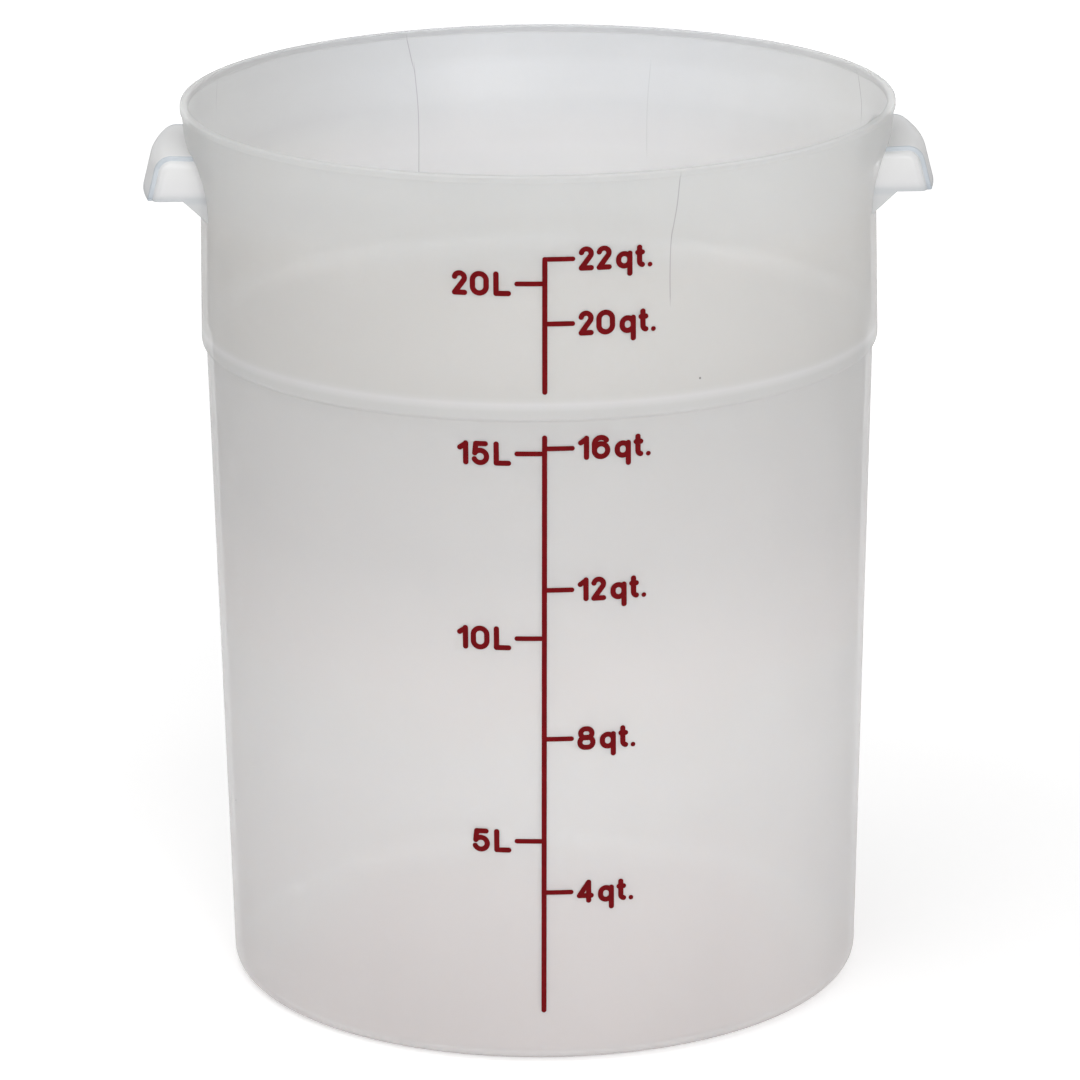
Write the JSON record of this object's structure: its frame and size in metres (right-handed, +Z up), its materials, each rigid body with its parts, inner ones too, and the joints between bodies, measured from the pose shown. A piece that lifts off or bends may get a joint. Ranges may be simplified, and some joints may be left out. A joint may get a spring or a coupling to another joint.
{
  "type": "dough proofing container",
  "caption": "Tall round translucent food storage tub with a stepped upper band, flared rim, two hooded side handles and a printed volume scale.",
  "frame": {"origin": "centre of the underside, on the plane that the tub stands on", "axes": "+Z up along the tub's axis, the two handles along X, the printed scale facing -Y"},
  "size_m": [0.3324, 0.2998, 0.381],
  "materials": {
    "tub_plastic": "milky translucent moulded polypropylene, satin",
    "handle_plastic": "the same polypropylene, moulded in one with the wall, satin",
    "scale_ink": "dark red screen-printed ink, slightly glossy"
  },
  "bodies": {
    "root": {"container_body": "tub_plastic", "left_handle": "handle_plastic", "right_handle": "handle_plastic", "upper_scale_line": "scale_ink", "lower_scale_line": "scale_ink", "label_22_qt": "scale_ink", "label_20_qt": "scale_ink", "label_16_qt": "scale_ink", "label_12_qt": "scale_ink", "label_8_qt": "scale_ink", "label_4_qt": "scale_ink", "label_20_l": "scale_ink", "label_15_l": "scale_ink", "label_10_l": "scale_ink", "label_5_l": "scale_ink"}
  },
  "joints": []
}
